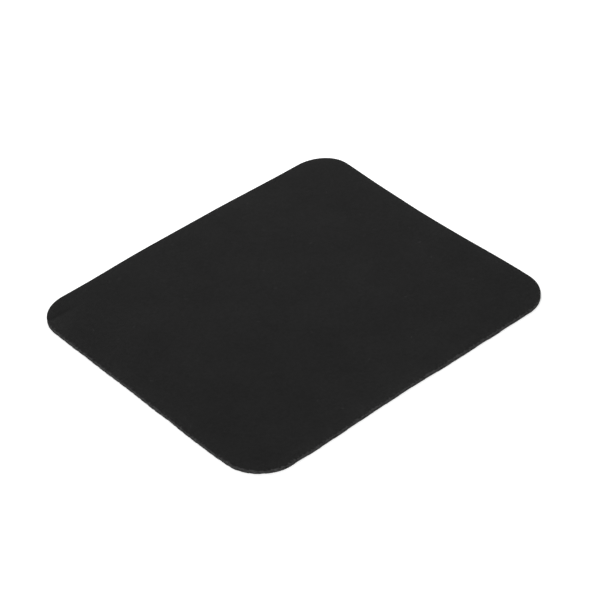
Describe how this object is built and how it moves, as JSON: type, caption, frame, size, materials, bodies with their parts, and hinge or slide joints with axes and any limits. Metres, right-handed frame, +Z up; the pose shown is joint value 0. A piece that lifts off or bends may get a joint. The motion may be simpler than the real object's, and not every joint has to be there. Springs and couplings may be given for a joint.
{
  "type": "mouse pad",
  "caption": "Thin rounded-rectangle mouse pad: a cloth work surface bonded to a sponge-rubber base with a zigzag anti-slip tread underneath.",
  "frame": {"origin": "on the desk under the middle of the pad", "axes": "+X along the long side, to the right of the person at the desk; +Y away from that person; +Z up, out of the cloth"},
  "size_m": [0.21, 0.19, 0.0022],
  "materials": {
    "sponge_rubber": "matt black sponge rubber, open pores on the cut edge",
    "hot_melt_film": "thin dark film, only its cut edge shows",
    "woven_cloth": "matt black fine polyester cloth"
  },
  "bodies": {
    "root": {"rubber_base": "sponge_rubber", "bond_film": "hot_melt_film", "surface_cloth": "woven_cloth"}
  },
  "joints": []
}
